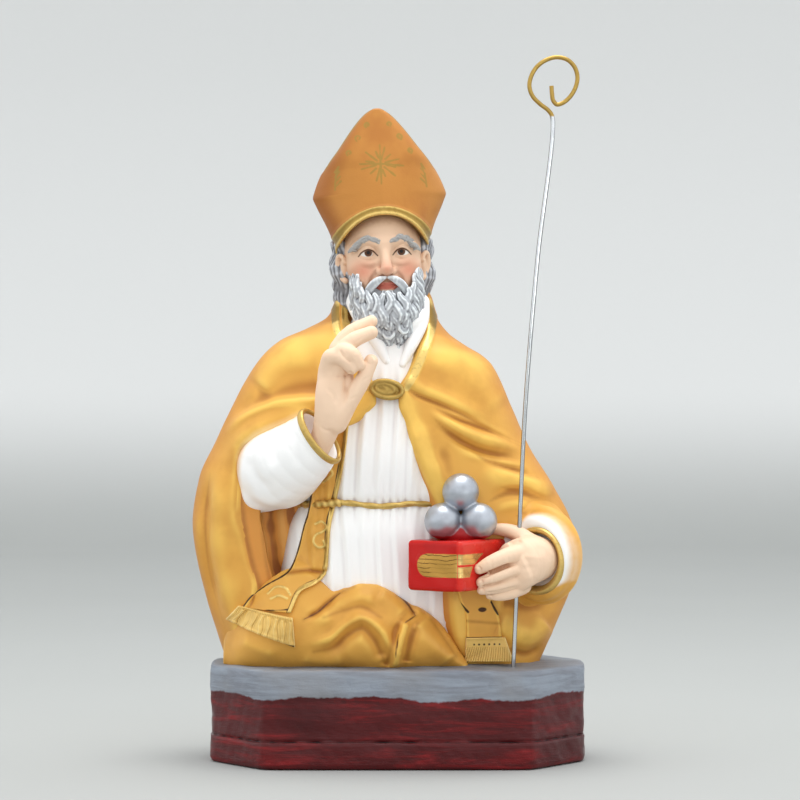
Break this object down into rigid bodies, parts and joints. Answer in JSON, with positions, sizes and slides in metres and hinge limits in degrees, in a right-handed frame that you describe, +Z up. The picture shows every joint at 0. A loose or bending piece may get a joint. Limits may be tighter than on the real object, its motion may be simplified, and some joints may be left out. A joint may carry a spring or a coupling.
{
  "type": "half-length resin saint statue on a plinth",
  "caption": "Painted resin half-length bishop figure with mitre, cope, raised hand and book, on an eight-sided plinth, with a slender metal crozier.",
  "frame": {"origin": "middle of the plinth's underside", "axes": "+Z up, -Y towards the figure's front, +X towards the viewer's right"},
  "size_m": [0.2403, 0.145, 0.4241],
  "materials": {
    "painted_resin": "hand-painted, satin, with gold and gloss details",
    "steel_wire": "bright wire, gold paint on the crook"
  },
  "bodies": {
    "root": {"statue": "painted_resin", "crozier": "steel_wire"}
  },
  "joints": []
}
